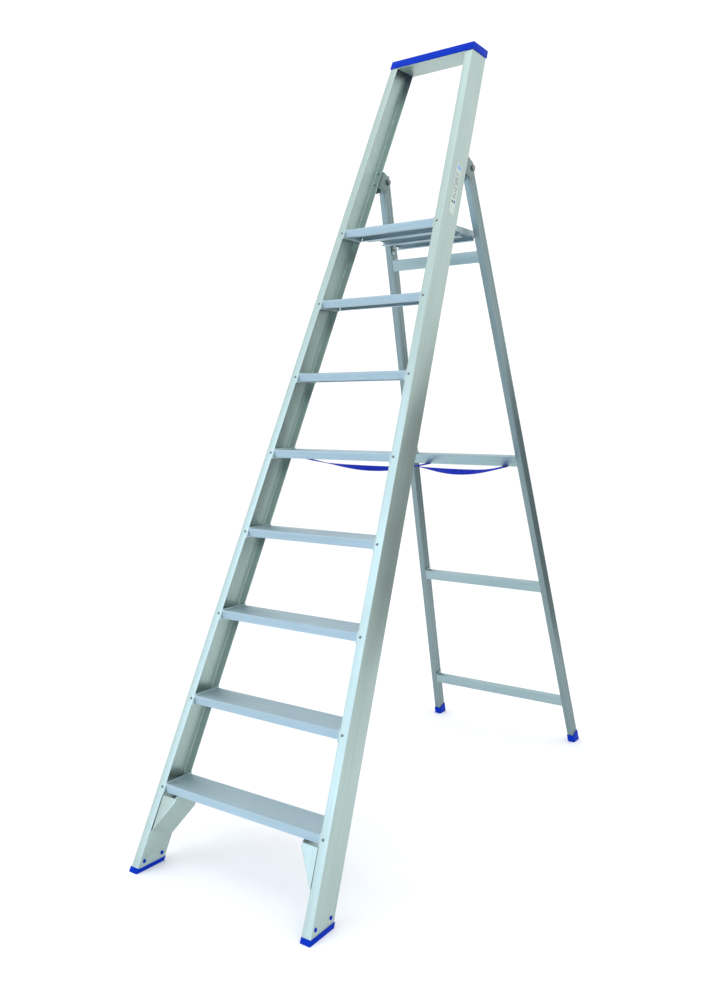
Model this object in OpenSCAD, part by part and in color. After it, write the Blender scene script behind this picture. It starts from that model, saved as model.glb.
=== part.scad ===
// Step ladder with eight treads, a folding platform and a hoop above it. Millimetres, +Z up, climbed from -Y.

/* [Front frame] */
// Outer width of the front frame at the floor
base_w = 681; // [500:1:900]
// Outer width of the front frame at the top of the hoop
top_w = 330; // [260:1:500]
// Height of the stiles' tops above the top tread
hoop_h = 635.5; // [400:0.5:900]
// Lean of the front frame from upright, in degrees
lean = 23.8; // [10:0.1:30]
// Depth of a stile, front to back
stile_d = 95; // [60:1:120]
// Width of a stile's flanges
flange_w = 29; // [20:1:45]
// Wall of the stile extrusion
stile_t = 3; // [2:0.5:5]

/* [Treads] */
// Number of treads
tread_count = 8; // [4:1:9]
// Rise from one tread to the next
tread_rise = 250; // [180:1:300]
// Height of the first tread's top above the floor
first_tread = 246.5; // [180:0.5:300]
// How much shorter a tread is than a level cut through the stile
tread_inset = 0.8; // [0:0.1:10]
// Height of a tread's front face
tread_h = 27; // [20:1:45]
// Wall of the tread extrusion
tread_t = 2.5; // [2:0.5:4]
// Width of the lips turned in under a tread
tread_lip = 14; // [6:1:25]
// Number of anti-slip ribs on a tread
rib_count = 12; // [4:1:20]
// Height of the anti-slip ribs
rib_h = 1; // [0.5:0.25:2]
// Setback of a tread's front face behind the stile fronts
tread_back = 2.5; // [0:0.5:10]
// Wall of the tread end brackets
bracket_t = 3; // [2:0.5:5]
// Reach of a bracket tab behind the stile flange
bracket_tab = 20; // [12:1:24]
// Height of an end bracket above and below the tread
bracket_over = 3; // [0:0.5:10]
// Shank diameter of the tread rivets
rivet_d = 5; // [3:0.5:8]
// Head diameter of the tread rivets
rivet_head = 9; // [6:0.5:12]
// Head height of the tread rivets
rivet_head_h = 1.8; // [1:0.1:3]
// Distance of the rivets in from the outer side of the stile
rivet_in = 19; // [12:0.5:24]
// Drop of the rivets below the tread top
rivet_drop = 10; // [4:0.5:20]

/* [Hoop top] */
// Height of the cap's skirt
cap_h = 29; // [20:1:50]
// Wall of the cap
cap_t = 2.5; // [2:0.5:4]
// Thickness of the cap's roof
cap_roof = 5; // [3:0.5:8]
// Drop of the top rail's underside below the cap's lower edge
rail_drop = 4; // [0:0.5:10]

/* [Front feet] */
// Height of a shoe's sole under the stile
sole_h = 14; // [8:1:25]
// Wall of a shoe around the stile's footprint
shoe_t = 2; // [1:0.5:4]
// Height of the plug inside the stile above the sole
plug_h = 36; // [20:1:60]
// Diameter of the foot pins
pin_d = 12; // [8:0.5:16]
// Height of the foot pins above the floor
pin_z = 32; // [25:1:50]
// Front foot pin's distance behind the stile front
pin_front = 13; // [10:1:30]
// Rear foot pin's distance behind the stile front
pin_rear = 76; // [50:1:85]
// How far a foot pin stands proud of the sheet
pin_proud = 1.2; // [0.5:0.1:3]

/* [Foot braces] */
// Sheet thickness of a brace
brace_t = 2.5; // [1.5:0.5:4]
// Distance up the stile to the brace's bend
brace_bend = 129; // [90:1:180]
// Distance up the stile to the brace's upper fold
brace_top = 230; // [180:1:280]
// Distance of the upper fold in from the flange edge
brace_in = 54; // [30:1:90]
// Margin of a brace inside the stile's front and back
brace_margin = 2; // [0:0.5:6]
// the brace's front wall stops this far short of the stile's flange
brace_slit = 3; // [0:0.5:8]

/* [Rear frame] */
// Height of the hinge bolts above the top tread
hinge_rise = 203.5; // [150:0.5:300]
// Clearance of a leg's top corner from its bracket as it swings
leg_swing = 2.9; // [1:0.1:10]
// Lean of the rear frame from upright, in degrees
rear_lean = 17.9; // [8:0.1:25]
// Gap between a leg and the bracket's outer ear, for the spacer washer
leg_gap = 4.5; // [3:0.1:8]
// Outer width of the rear frame at the floor
rear_base_w = 663; // [450:1:900]
// Width of a rear leg, side to side
leg_w = 23; // [18:1:35]
// Depth of a rear leg, front to back
leg_d = 43; // [30:1:60]
// Wall of the rear leg tube
leg_t = 2; // [1.5:0.5:4]
// Length of a rear leg above the hinge bolt
leg_over = 22; // [14:1:28]
// Depth of the grooves along a leg's sides
groove_d = 0.8; // [0.4:0.1:1.2]
// Width of the grooves along a leg's sides
groove_w = 5; // [3:0.5:8]
// Drop of the top bar's upper edge below the platform
bar_drop = 66.5; // [60:0.5:120]
// Heights of the lower bars' upper edges, as shares of the hinge bolts' height
bar_shares = [0.5455, 0.316, 0.09];
// Height of a rear bar
bar_h = 39; // [25:1:60]
// Depth of a rear bar
bar_d = 20; // [12:1:30]
// Wall of a rear bar
bar_t = 1.5; // [1:0.5:3]
// Setback of the bars behind the legs' fronts
bar_back = 1; // [0:0.5:10]
// Thickness of the plates at the bars' ends
bar_plate_t = 3; // [2:0.5:5]
// Height of the end plates above and below a bar
bar_plate_over = 3; // [1:0.5:8]

/* [Rear feet] */
// Height of a rear foot cup along the leg
cup_h = 34; // [20:1:60]
// Wall of a rear foot cup
cup_t = 2.5; // [1.5:0.5:5]
// Thickness of a rear foot's sole
cup_sole = 6; // [4:0.5:12]

/* [Hinges] */
// Diameter of the hinge bolts
bolt_d = 10; // [6:0.5:14]
// Radial clearance of the hinge bolts in the legs
bolt_clear = 0.08; // [0.02:0.01:0.1]
// Width across flats of the bolt heads and nuts
bolt_af = 17; // [12:1:22]
// Height of the bolt heads and nuts
bolt_head_h = 6; // [4:0.5:9]
// Sheet thickness of the hinge brackets
ear_t = 3; // [2:0.5:5]
// Gap between a leg and the bracket's inner ear
ear_gap = 2; // [0.5:0.1:3]
// Gap between the spacer washer and the leg
washer_gap = 0.35; // [0.3:0.05:0.6]
// Outer diameter of the spacer washer
washer_d = 18; // [14:1:30]
// Length of a hinge bracket below the bolt
ear_below = 44; // [30:1:70]
// Length of a hinge bracket above the bolt
ear_above = 20; // [12:1:40]
// Reach of a hinge bracket behind the bolt
ear_reach = 17; // [12:1:28]
// Distance of the bracket's rivets in from its ends
ear_rivet_in = 9; // [6:1:12]
// Clearance under bolt heads, nuts and washers
seat_clear = 0.05; // [0.02:0.01:0.2]

/* [Platform] */
// Gap between the top tread and the platform
deck_gap = 4; // [2:0.1:8]
// Gap between the platform's side plates and the rear legs
deck_side = 13.5; // [8:0.5:30]
// Thickness of the platform's side plates
side_t = 3; // [2:0.5:5]
// Height of the side plates
side_h = 20; // [14:1:30]
// Rise of the side plates above the boards
side_over = 7; // [2:0.5:12]
// Distance of the platform pivots behind the platform's front
pivot_back = 8; // [6:0.5:14]
// Depth of the platform pivots below the board tops
pivot_down = 7.5; // [4:0.5:12]
// Diameter of the platform pivot pins
pivot_d = 6; // [4:0.5:8]
// Radius of the side plates' front eyes
eye_r = 7; // [5:0.5:9]
// Radial clearance of the pivot pins in the side plates
pivot_clear = 0.08; // [0.02:0.01:0.1]
// Gap between a side plate and its pivot bracket
pivot_gap = 0.6; // [0.3:0.1:2]
// Sheet thickness of the pivot brackets
pivot_ear_t = 2.5; // [2:0.5:4]
// Width of the pivot brackets' foot on the top tread
pivot_foot_w = 12; // [8:1:20]
// Thickness of the pivot pins' heads
pivot_head_h = 2; // [1:0.5:4]
// Diameter of the pivot pins' heads
pivot_head_d = 10; // [8:0.5:14]
// Gap between the platform and its rests
rest_gap = 0.3; // [0.3:0.1:1]
// Depth of a platform rest, front to back
rest_d = 18; // [12:1:24]
// Height of a platform rest's upright
rest_h = 30; // [20:1:45]
// Sheet thickness of a platform rest
rest_t = 3; // [2:0.5:5]
// Drop of a rest's bolt below its ledge
rest_bolt_drop = 14; // [10:1:24]
// Height of the rest bolts' heads
rest_head_h = 4; // [2:0.5:6]

/* [Straps] */
// Width of the webbing
strap_w = 25; // [15:1:40]
// Thickness of the webbing
strap_t = 2; // [1:0.5:3]
// Tread that the straps start under
strap_tread = 5; // [2:1:7]
// Sag of the straps below a straight line
strap_sag = 28; // [10:1:90]
// most that the webbing turns on its side, in the middle, in degrees
strap_turn = 50; // [0:5:80]
// Left strap's distance in from the end of its tread
strap_left_front = 30; // [20:1:120]
// Left strap's distance in from the end of its rear bar
strap_left_rear = 60; // [20:1:160]
// Right strap's distance in from the end of its tread
strap_right_front = 47; // [20:1:120]
// Right strap's distance in from the end of its rear bar
strap_right_rear = 46; // [19:1:160]
// Length of the webbing lying flat beyond its rivet
end_flat = 9; // [6:0.5:14]
// Gap between the webbing and the rear bar
bar_strap_gap = 0.4; // [0.3:0.1:1]
// Diameter of the strap rivets' lower heads
strap_rivet_d = 12; // [10:0.5:16]

/* [Label] */
// Drop of the label's upper edge below the hinge, along the stile
label_drop = 48; // [30:1:300]
// Length of the label
label_h = 190; // [80:1:250]
// Width of the label
label_w = 32; // [20:1:70]
// Thickness of the label
label_t = 0.4; // [0.2:0.1:1]

/* [Hidden] */
$fn = 40;

// levels of the top tread, the stiles' tops, the cap and the hinge bolts
deck_z = first_tread + (tread_count - 1) * tread_rise;
stile_top = deck_z + hoop_h;
cap_low = stile_top + cap_roof - cap_h;
hinge_z = deck_z + hinge_rise;
bar_tops = concat([deck_z - bar_drop], bar_shares * hinge_z);

// the front frame: half width, taper, and depth of the treads and hinges
half_base = base_w / 2;
taper = (base_w - top_w) / 2 / stile_top;
stile_tilt = atan(taper * cos(lean));
along = cos(stile_tilt) * cos(lean);
tread_d = stile_d / cos(lean) - tread_inset;
hinge_back = norm([leg_over, leg_d / 2]) + ear_t + leg_swing;
hinge_y = hinge_z * tan(lean) + (stile_d + hinge_back) / cos(lean);
ear_out = stile_x(hinge_y, hinge_z);

// the rear frame hangs between the hinge brackets
rear_top_w = 2 * (ear_out - ear_t - leg_gap);
rear_taper = (rear_base_w - rear_top_w) / 2 / hinge_z;
leg_tilt = atan(rear_taper * cos(rear_lean));
leg_len = hinge_z / cos(rear_lean);
front_y = -shoe_t / cos(lean);
rear_y = hinge_y + hinge_z * tan(rear_lean) + (leg_d / 2 + cup_t) / cos(rear_lean);
mid_y = (front_y + rear_y) / 2;
far = 4000;
overlap = 0.01;

// the platform reaches from the top tread to the middles of the rear legs
deck_y = tread_front(tread_count) + tread_d + deck_gap;
pivot_y = deck_y + pivot_back;
pivot_z = deck_z - pivot_down;
side_low = deck_z + side_over - side_h;
rest_y = hinge_y + (hinge_z - side_low) * tan(rear_lean) - rest_d / 2;
board_d = (rest_y + rest_d - deck_y) / 2;
side_x = rear_inner(deck_z) - side_t - deck_side;

// front plane of the frame at a height, and a tread's front face
function front_at(z) = z * tan(lean);
function tread_front(k) = front_at(first_tread + (k - 1) * tread_rise - rivet_drop) + tread_back;
function tread_top(k) = first_tread + (k - 1) * tread_rise;
// outer half width of the front frame at a point behind the front plane
function stile_x(y, z) = half_base - taper * pow(cos(lean), 2) * (z + y * tan(lean));
// distance up the stile of a height, at a depth behind the front plane
function up_stile(z, dep) = (z + dep * sin(lean)) / along;
// half length of a tread at its front, and the rear legs' inner faces at a height
function tread_half(k) = stile_x(tread_front(k), tread_top(k)) - flange_w - bracket_t;
function rear_inner(z) = rear_top_w / 2 + rear_taper * (hinge_z - z) - leg_w;

module place() translate([0, -mid_y, 0]) children();
module sided(side) mirror([side < 0 ? 1 : 0, 0, 0]) children();
// x runs outward from the stile's outer face, y back from its front, z up along it
module stile_frame(side) sided(side)
    translate([half_base, 0, 0]) rotate([-lean, 0, 0]) rotate([0, -stile_tilt, 0]) children();
// x runs outward from the leg's outer face, y back from its middle, z up along it from the hinge bolt
module leg_frame(side) sided(side)
    translate([rear_top_w / 2, hinge_y, hinge_z])
        rotate([rear_lean, 0, 0]) rotate([0, -leg_tilt, 0]) children();
// the rear frame's plane: x across, y back, z up along it from the hinge bolts
module rear_plane() translate([0, hinge_y, hinge_z]) rotate([rear_lean, 0, 0]) children();
module level(z0, z1) translate([-far, -far, z0]) cube([2 * far, 2 * far, z1 - z0]);
module cross_bolt(x0, x1, y, z, d) translate([x0, y, z]) rotate([0, 90, 0]) cylinder(d = d, h = x1 - x0);

// ---- front frame ----
module stile_section() polygon([[0, 0], [0, stile_d], [-flange_w, stile_d], [-flange_w, stile_d - stile_t],
    [-stile_t, stile_d - stile_t], [-stile_t, stile_t], [-flange_w, stile_t], [-flange_w, 0]]);

module rivet_holes(side, d) for (k = [1:tread_count]) stile_frame(side)
    translate([-rivet_in, -5, up_stile(tread_top(k) - rivet_drop, 0)]) rotate([-90, 0, 0])
        cylinder(d = d, h = stile_d + 10);

module pin_holes(side) for (dep = [pin_front, pin_rear]) stile_frame(side)
    translate([-flange_w - 20, dep, up_stile(pin_z, dep)]) rotate([0, 90, 0])
        cylinder(d = pin_d, h = flange_w + 40);

module bracket_rivet_places() for (dz = [ear_rivet_in - ear_below, ear_above - ear_rivet_in])
    translate([-flange_w / 2, stile_d, up_hinge + dz]) children();
module bracket_rivet_holes(side) stile_frame(side) bracket_rivet_places()
    translate([0, -10, 0]) rotate([-90, 0, 0]) cylinder(d = rivet_d, h = 20);
up_hinge = up_stile(hinge_z, stile_d + hinge_back);

module stile(side) color("lightsteelblue") place() difference() {
    intersection() {
        stile_frame(side) translate([0, 0, -200]) linear_extrude(height = far) stile_section();
        level(sole_h, stile_top);
    }
    rivet_holes(side, rivet_d);
    pin_holes(side);
    bracket_rivet_holes(side);
}

// ribs across the top plate, then the two lipped flanges of an open-bottomed profile
module board_section(depth) {
    pitch = depth / rib_count;
    top = [for (i = [0:rib_count - 1]) for (p = [[0.25, 0], [0.25, rib_h], [0.75, rib_h], [0.75, 0]])
        [(i + p[0]) * pitch, p[1] - rib_h]];
    polygon(concat([[0, -rib_h]], top, [[depth, -rib_h], [depth, -tread_h], [depth - tread_lip, -tread_h],
        [depth - tread_lip, tread_t - tread_h], [depth - tread_t, tread_t - tread_h],
        [depth - tread_t, -rib_h - tread_t], [tread_t, -rib_h - tread_t], [tread_t, tread_t - tread_h],
        [tread_lip, tread_t - tread_h], [tread_lip, -tread_h], [0, -tread_h]]));
}
// the profile runs along x, centred, its front edge at y = 0 and its top at z = 0
module board(len, depth) translate([-len / 2, 0, 0]) rotate([90, 0, 90])
    linear_extrude(height = len) board_section(depth);

module tread(k) color("lightblue") place() difference() {
    translate([0, tread_front(k), tread_top(k)]) board(base_w, tread_d);
    for (side = [-1, 1]) stile_frame(side)
        translate([-flange_w - bracket_t, -far / 2, -far]) cube([far, far, 3 * far]);
    for (side = [-1, 1]) if (k == strap_tread) strap_hole(side);
}

module tread_bracket(k, side) intersection() {
    stile_frame(side) translate([0, 0, -200]) linear_extrude(height = far) polygon([
        [-flange_w - bracket_t, 0], [-flange_w - bracket_t, stile_d], [-flange_w, stile_d],
        [-flange_w, stile_d - stile_t], [bracket_tab - flange_w, stile_d - stile_t],
        [bracket_tab - flange_w, stile_d - stile_t - bracket_t], [-flange_w, stile_d - stile_t - bracket_t],
        [-flange_w, stile_t + bracket_t], [bracket_tab - flange_w, stile_t + bracket_t],
        [bracket_tab - flange_w, stile_t], [-flange_w, stile_t], [-flange_w, 0]]);
    level(tread_top(k) - tread_h - bracket_over, tread_top(k) + bracket_over);
}
module tread_brackets(side) color("gainsboro") place() difference() {
    for (k = [1:tread_count]) tread_bracket(k, side);
    rivet_holes(side, rivet_d);
}

// a rivet through one flange and the tab behind it, head outside
module rivet(reach) {
    translate([0, -rivet_head_h, 0]) rotate([-90, 0, 0])
        cylinder(d1 = rivet_head * 0.6, d2 = rivet_head, h = rivet_head_h);
    rotate([-90, 0, 0]) cylinder(d = rivet_d, h = reach);
    translate([0, reach, 0]) rotate([-90, 0, 0]) cylinder(d = rivet_head * 0.8, h = rivet_head_h);
}
module tread_rivets(side) color("silver") place() for (k = [1:tread_count]) stile_frame(side)
    translate([-rivet_in, 0, up_stile(tread_top(k) - rivet_drop, 0)]) rivet(stile_t + bracket_t);

// the slanted slot between the front and back planes of the frame, offset outward by g
module frame_slice(g, z0, z1, inset) difference() {
    translate([-far / 2, 0, 0]) rotate([90, 0, 90]) linear_extrude(height = far) polygon([
        [front_at(z0) - g / cos(lean), z0], [front_at(z0) + (stile_d + g) / cos(lean), z0],
        [front_at(z1) + (stile_d + g) / cos(lean), z1], [front_at(z1) - g / cos(lean), z1]]);
    for (side = [-1, 1]) stile_frame(side) translate([g - inset, -far / 2, -far]) cube([far, far, 3 * far]);
}
module top_rail() color("silver") place() difference() {
    frame_slice(0, cap_low - rail_drop, stile_top, flange_w);
    frame_slice(-stile_t, cap_low - rail_drop + stile_t, stile_top + 1, -50);
}
module top_cap() color("royalblue") place() difference() {
    frame_slice(cap_t, cap_low, stile_top + cap_roof, 0);
    frame_slice(0, cap_low - 1, stile_top, 0);
}

// ---- front feet and braces ----
module front_foot(side) color("royalblue") place() difference() {
    union() {
        intersection() {
            stile_frame(side) translate([-flange_w - shoe_t, -shoe_t, -200])
                cube([flange_w + 2 * shoe_t, stile_d + 2 * shoe_t, 500]);
            level(0, sole_h);
        }
        intersection() {
            stile_frame(side) translate([-flange_w, stile_t, -200])
                cube([flange_w - stile_t, stile_d - 2 * stile_t, 500]);
            level(sole_h - overlap, sole_h + plug_h);
        }
    }
    pin_holes(side);
}
module foot_pins(side) color("royalblue") place() for (dep = [pin_front, pin_rear]) stile_frame(side)
    translate([-flange_w - brace_t - pin_proud, dep, up_stile(pin_z, dep)]) rotate([0, 90, 0])
        cylinder(d = pin_d, h = flange_w + brace_t + 2 * pin_proud);

// a plate that leans in from the bend and then runs up to the tread, closed at the front by a wall
module foot_brace(side) color("lightsteelblue") place() difference() {
    in_x = -flange_w - brace_in;
    tread_low = tread_top(1) - tread_h;
    union() {
        intersection() {
            brace_slice(side, stile_d - 2 * brace_margin) polygon([
                [-flange_w, 0], [-flange_w, brace_bend], [in_x, brace_top], [in_x, far],
                [in_x - brace_t, far], [in_x - brace_t, brace_top], [-flange_w - brace_t, brace_bend],
                [-flange_w - brace_t, 0]]);
            level(sole_h, tread_low);
        }
        intersection() {
            brace_slice(side, brace_t) polygon([[-flange_w - brace_slit, brace_bend], [in_x, brace_top],
                [in_x, far], [-flange_w - brace_slit, far]]);
            level(sole_h, tread_low - bracket_over - brace_t);
        }
    }
    pin_holes(side);
}
// a cross-section of the brace carried back from its front edge
module brace_slice(side, d) stile_frame(side) translate([0, brace_margin, 0])
    rotate([90, 0, 0]) mirror([0, 0, 1]) linear_extrude(height = d) children();

// ---- hinges ----
inner_ear = 2 * ear_t + leg_gap + leg_w + ear_gap;
module ear(x) translate([x, stile_d, up_hinge]) rotate([90, 0, 90]) linear_extrude(height = ear_t) polygon([
    [0, -ear_below], [hinge_back, -ear_below], [hinge_back + ear_reach, -ear_below / 2],
    [hinge_back + ear_reach, ear_above / 2], [hinge_back, ear_above], [0, ear_above]]);
module hinge_bracket(side) color("slategray") place() difference() {
    stile_frame(side) {
        translate([-inner_ear, stile_d, up_hinge - ear_below])
            cube([inner_ear, ear_t, ear_below + ear_above]);
        ear(-ear_t);
        ear(-inner_ear);
    }
    sided(side) cross_bolt(0, far, hinge_y, hinge_z, bolt_d);
    bracket_rivet_holes(side);
}
module hinge_rivets(side) color("silver") place() stile_frame(side) bracket_rivet_places()
    mirror([0, 1, 0]) translate([0, -ear_t, 0]) rivet(ear_t + stile_t);
// the ears lean a little, so heads, nuts and washers stand off them by the lean across their radius
head_r = bolt_af / 2 / cos(30);
head_off = head_r * taper + seat_clear;
nut_x = ear_out - inner_ear - head_off - bolt_head_h;
module hex(x) translate([x, hinge_y, hinge_z]) rotate([0, 90, 0])
    cylinder(r = head_r, h = bolt_head_h, $fn = 6);
module hinge_bolt(side) color("dimgray") place() sided(side) {
    cross_bolt(nut_x - bolt_d / 3, ear_out + head_off + bolt_head_h / 2, hinge_y, hinge_z, bolt_d);
    hex(ear_out + head_off);
}
module hinge_nut(side) color("dimgray") place() sided(side) difference() {
    hex(nut_x);
    cross_bolt(0, far, hinge_y, hinge_z, bolt_d);
}
module hinge_washer(side) color("black") place() sided(side) difference() {
    cross_bolt(rear_top_w / 2 + washer_gap + washer_d / 2 * rear_taper,
        ear_out - ear_t - washer_d / 2 * taper - seat_clear, hinge_y, hinge_z, washer_d);
    cross_bolt(0, far, hinge_y, hinge_z, bolt_d);
}

module label() color("white") place() stile_frame(1)
    translate([0, (stile_d - label_w) / 2, up_hinge - label_drop - label_h])
        cube([label_t, label_w, label_h]);

// ---- platform ----
module platform_board(i) color("lightblue") place()
    translate([0, deck_y + i * board_d, deck_z]) board(2 * side_x, board_d);
module side_outline() difference() {
    union() {
        translate([pivot_y, pivot_z]) circle(r = eye_r);
        polygon([[pivot_y, pivot_z - eye_r], [pivot_y + 3 * eye_r, side_low],
            [deck_y + 2 * board_d, side_low], [deck_y + 2 * board_d, side_low + side_h],
            [pivot_y + 3 * eye_r, side_low + side_h], [pivot_y, pivot_z + eye_r]]);
    }
    translate([pivot_y, pivot_z]) circle(r = pivot_d / 2 + pivot_clear);
}
module platform_side(side) color("lightsteelblue") place() sided(side)
    translate([side_x, 0, 0]) rotate([90, 0, 90]) linear_extrude(height = side_t) side_outline();
pivot_x = side_x + side_t + pivot_gap;
module pivot_bracket(side) color("silver") place() sided(side) difference() {
    union() {
        translate([pivot_x, deck_y - deck_gap, pivot_z - eye_r])
            cube([pivot_ear_t, pivot_y - deck_y + deck_gap, 2 * eye_r]);
        cross_bolt(pivot_x, pivot_x + pivot_ear_t, pivot_y, pivot_z, 2 * eye_r);
        translate([pivot_x, deck_y - deck_gap, pivot_z - 2 * eye_r])
            cube([pivot_foot_w, pivot_ear_t, 3 * eye_r]);
    }
    cross_bolt(0, far, pivot_y, pivot_z, pivot_d);
}
module pivot_pin(side) color("dimgray") place() sided(side) {
    cross_bolt(side_x + pivot_gap, pivot_x + pivot_ear_t, pivot_y, pivot_z, pivot_d);
    cross_bolt(pivot_x + pivot_ear_t, pivot_x + pivot_ear_t + pivot_head_h, pivot_y, pivot_z, pivot_head_d);
}

// ---- rear frame ----
module leg_section() difference() {
    polygon(concat(
        [[0, -leg_d / 2]], groove_points(0, -1, 1), [[0, leg_d / 2], [-leg_w, leg_d / 2]],
        groove_points(-leg_w, 1, -1), [[-leg_w, -leg_d / 2]]));
    translate([-leg_w + leg_t, -leg_d / 2 + leg_t]) square([leg_w - 2 * leg_t, leg_d - 2 * leg_t]);
}
// two grooves down a side face at x, cut in the direction s, listed front to back or back to front
function groove_points(x, s, order) =
    [for (c = [-order, order]) for (e = [[-order, 0], [-order, 1], [order, 1], [order, 0]])
        [x + s * groove_d * e[1], c * leg_d / 5 + e[0] * groove_w / 2]];
module rear_leg(side) color("slategray") place() difference() {
    intersection() {
        leg_frame(side) translate([0, 0, -leg_len - 200])
            linear_extrude(height = leg_len + 200 + leg_over) leg_section();
        level(cup_sole, far);
    }
    sided(side) cross_bolt(0, far, hinge_y, hinge_z, bolt_d + 2 * bolt_clear);
    rest_hole(side);
}
// everything outside the inner faces of the two legs, moved inward by g
module beyond_legs(g) for (side = [-1, 1]) leg_frame(side)
    translate([-leg_w - g, -far / 2, -far]) cube([far, far, 2 * far]);
function down_leg(z) = (hinge_z - z - (leg_d / 2) * sin(rear_lean)) / cos(rear_lean);
module bar_shape(i, grow, h, d) rear_plane()
    translate([-half_base, -leg_d / 2 + bar_back - grow, -down_leg(bar_tops[i]) - h]) cube([base_w, d, h]);
module rear_bar(i) color("lightsteelblue") place() difference() {
    bar_shape(i, 0, bar_h, bar_d);
    rear_plane()
        translate([-half_base - 1, -leg_d / 2 + bar_back + bar_t, -down_leg(bar_tops[i]) - bar_h + bar_t])
            cube([base_w + 2, bar_d - 2 * bar_t, bar_h - 2 * bar_t]);
    beyond_legs(bar_plate_t);
    if (i == 1) for (side = [-1, 1]) bar_strap_hole(side);
}
module bar_plates(side) color("gainsboro") place() for (i = [0:3]) intersection() {
    rear_plane()
        translate([-half_base, -leg_d / 2 + bar_back, -down_leg(bar_tops[i]) - bar_h - bar_plate_over])
            cube([base_w, leg_d - 2 * bar_back, bar_h + 2 * bar_plate_over]);
    leg_frame(side) translate([-leg_w - bar_plate_t, -far / 2, -far]) cube([bar_plate_t, far, 2 * far]);
}
module rear_foot(side) color("royalblue") place() difference() {
    intersection() {
        leg_frame(side) translate([-leg_w - cup_t, -leg_d / 2 - cup_t, -leg_len - 100])
            cube([leg_w + 2 * cup_t, leg_d + 2 * cup_t, 100 + cup_h]);
        level(0, far);
    }
    intersection() {
        leg_frame(side) translate([-leg_w, -leg_d / 2, -leg_len - 100]) cube([leg_w, leg_d, 300]);
        level(cup_sole, far);
    }
}

// ---- platform rests ----
rest_top = side_low - rest_gap;
rest_bolt_z = rest_top - rest_bolt_drop;
rest_bolt_x = rear_inner(rest_bolt_z);
module rest_cross(x0, x1, d) cross_bolt(x0, x1, rest_y + rest_d / 2, rest_bolt_z, d);
module rest_hole(side) sided(side) rest_cross(0, rest_bolt_x + leg_w / 2, rivet_d);
module platform_rest(side) color("gainsboro") place() difference() {
    sided(side) {
        translate([side_x + rest_gap, rest_y, rest_top - rest_t]) cube([base_w, rest_d, rest_t]);
        intersection() {
            translate([0, rest_y, rest_top - rest_h]) cube([base_w, rest_d, rest_h]);
            leg_frame(1) translate([-leg_w - rest_t, -far / 2, -far]) cube([rest_t, far, 2 * far]);
        }
    }
    beyond_legs(0);
    rest_hole(side);
}
module rest_bolts() color("dimgray") place() for (side = [-1, 1]) sided(side) {
    seat = rest_bolt_x - rest_t - rivet_d * rear_taper - seat_clear;
    rest_cross(seat, rest_bolt_x + leg_w / 2, rivet_d);
    rest_cross(seat - rest_head_h, seat, 2 * rivet_d);
}

// ---- straps ----
function mix(a, b, t) = a + (b - a) * t;
lip_y = tread_front(strap_tread) + tread_d - tread_lip / 2;
lip_z = tread_top(strap_tread) - tread_h;
bar_low = -down_leg(bar_tops[1]) - bar_h;
function rear_point(x, y, z) =
    [x, hinge_y + y * cos(rear_lean) - z * sin(rear_lean),
        hinge_z + y * sin(rear_lean) + z * cos(rear_lean)];
strap_bar_end = rear_inner(bar_tops[1]) - bar_plate_t;
function strap_x(side) = side < 0 ?
    [strap_left_front - tread_half(strap_tread), strap_left_rear - strap_bar_end] :
    [tread_half(strap_tread) - strap_right_front, strap_bar_end - strap_right_rear];
module strap_hole(side) translate([strap_x(side)[0], lip_y, lip_z - 5]) cylinder(d = rivet_d, h = 15);
module bar_strap_hole(side) rear_plane()
    translate([strap_x(side)[1], -leg_d / 2 + bar_back + bar_d / 2, bar_low - strap_t])
        cylinder(d = rivet_d, h = 3 * strap_t);
// the route: flat under the tread's lip, a hanging curve, then flat under the rear bar
strap_steps = 26;
function strap_start(side) = [strap_x(side)[0], lip_y, lip_z - strap_t / 2];
function strap_end(side) =
    rear_point(strap_x(side)[1], -leg_d / 2 + bar_back + bar_d / 2, bar_low - strap_t / 2 - bar_strap_gap);
function strap_route(side) =
    let (a = strap_start(side), b = strap_end(side), s = [0, end_flat, 0],
        e = rear_point(0, -end_flat, 0) - rear_point(0, 0, 0))
    concat([a - s, a], [for (i = [0:strap_steps]) let (t = i / strap_steps)
        mix(a + s, b + e, t) - [0, 0, 4 * strap_sag * t * (1 - t)]], [b, b - e]);
// the webbing turns out and back over the hanging part
function strap_twist(i, n) = let (t = min(1, max(0, (i - 4) / (n - 8)))) strap_turn * pow(sin(180 * t), 2);
function unit(v) = v / norm(v);
module strap(side) {
    p = strap_route(side);
    n = len(p) - 1;
    rings = [for (i = [0:n])
        let (t = unit(p[min(n, i + 1)] - p[max(0, i - 1)]),
            s0 = unit([1, 0, 0] - t * t[0]),
            n0 = cross(t, s0),
            a = strap_twist(i, n),
            s = (s0 * cos(a) + n0 * sin(a)) * strap_w / 2,
            u = (n0 * cos(a) - s0 * sin(a)) * strap_t / 2)
        for (c = [-s - u, s - u, s + u, -s + u]) p[i] + c];
    walls = [for (i = [0:n - 1]) for (j = [0:3]) let (a = 4 * i + j, b = 4 * i + (j + 1) % 4)
        for (f = [[a, a + 4, b], [b, a + 4, b + 4]]) f];
    color("blue") place() difference() {
        polyhedron(points = rings, faces = concat(walls, [[0, 1, 2], [0, 2, 3]],
            [[4 * n + 2, 4 * n + 1, 4 * n], [4 * n + 3, 4 * n + 2, 4 * n]]));
        translate(strap_start(side) - [0, 0, 20]) cylinder(d = rivet_d, h = 40);
        translate(strap_end(side)) rotate([rear_lean, 0, 0]) translate([0, 0, -20])
            cylinder(d = rivet_d + 0.6, h = 40);
    }
}
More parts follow.
